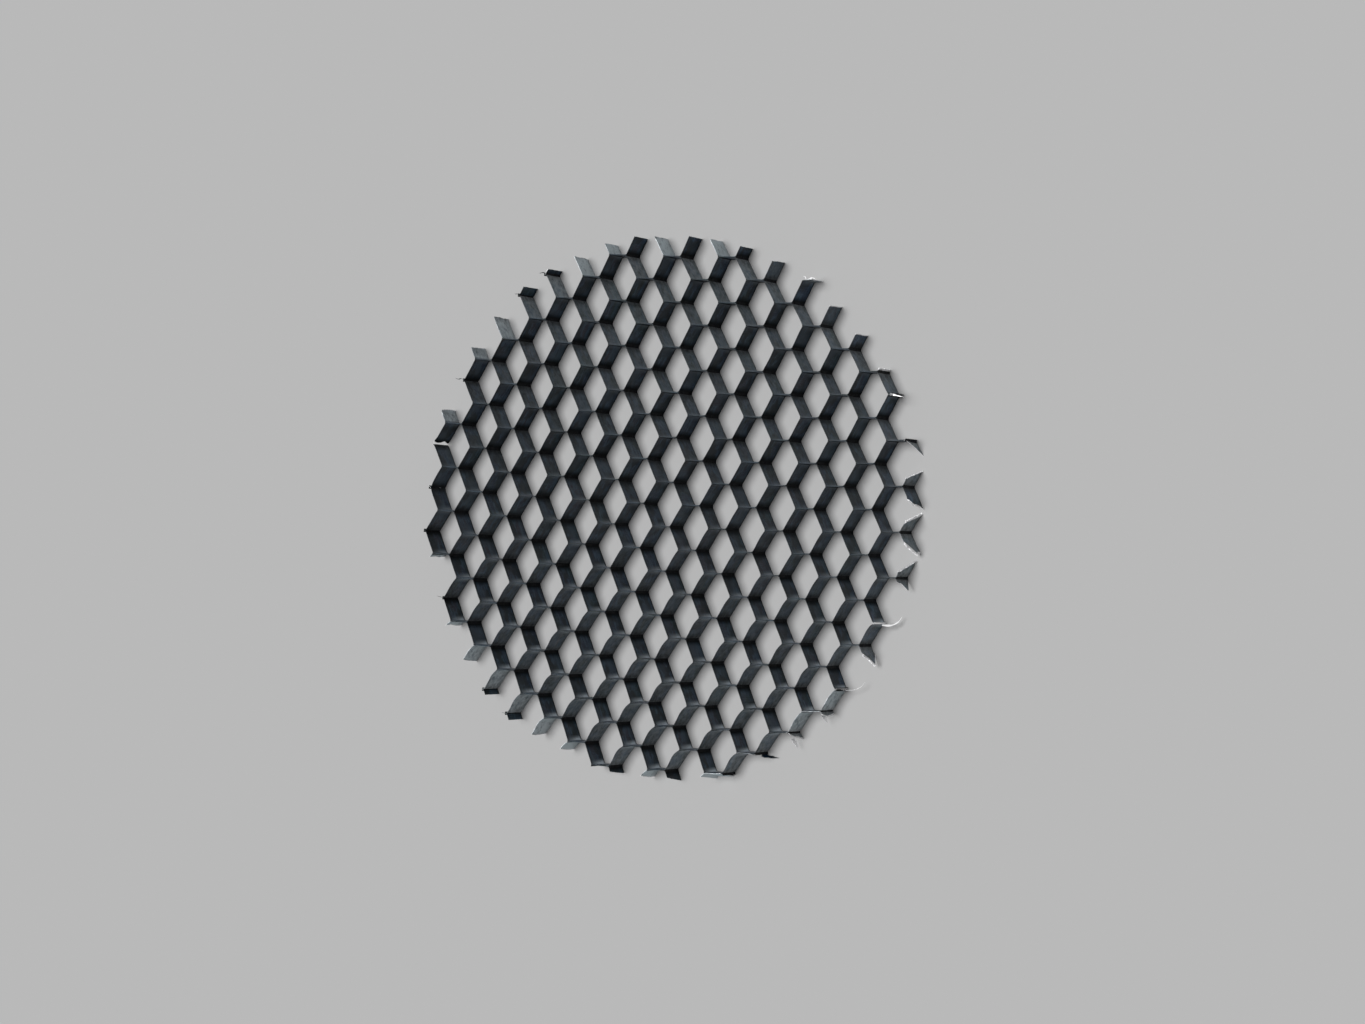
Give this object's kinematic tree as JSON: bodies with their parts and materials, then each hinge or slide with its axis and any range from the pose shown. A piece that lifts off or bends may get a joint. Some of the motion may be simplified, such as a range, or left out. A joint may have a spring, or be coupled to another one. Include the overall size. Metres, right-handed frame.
{
  "type": "honeycomb grid",
  "caption": "Round light-control grid cut from black-coated expanded aluminium foil honeycomb, unframed, with a ragged cut rim.",
  "frame": {"origin": "middle of the underside's bounding box", "axes": "+X along the foil ribbons, +Y across them (the way the stack was pulled open), +Z through the sheet towards the face that light leaves by"},
  "size_m": [0.1156, 0.116, 0.0063],
  "materials": {
    "coated_foil": "satin",
    "bare_cut_edge": "satin",
    "node_adhesive": "satin"
  },
  "bodies": {
    "root": {"foil_ribbon_01": "coated_foil", "foil_ribbon_02": "coated_foil", "foil_ribbon_03": "coated_foil", "foil_ribbon_04": "coated_foil", "foil_ribbon_05": "coated_foil", "foil_ribbon_06": "coated_foil", "foil_ribbon_07": "coated_foil", "foil_ribbon_08": "coated_foil", "foil_ribbon_09": "coated_foil", "foil_ribbon_10": "coated_foil", "foil_ribbon_11": "coated_foil", "foil_ribbon_12": "coated_foil", "foil_ribbon_13": "coated_foil", "foil_ribbon_14": "coated_foil", "foil_ribbon_15": "coated_foil", "foil_ribbon_16": "coated_foil", "foil_ribbon_17": "coated_foil", "foil_ribbon_18": "coated_foil", "foil_ribbon_19": "coated_foil", "foil_ribbon_20": "coated_foil", "foil_ribbon_21": "coated_foil", "foil_ribbon_22": "coated_foil", "foil_ribbon_23": "coated_foil", "severed_strip_01": "coated_foil", "severed_strip_02": "coated_foil", "severed_strip_03": "coated_foil", "severed_strip_04": "coated_foil", "severed_strip_05": "coated_foil", "severed_strip_06": "coated_foil", "severed_strip_07": "coated_foil", "severed_strip_08": "coated_foil", "severed_strip_09": "coated_foil", "severed_strip_10": "coated_foil"}
  },
  "joints": []
}
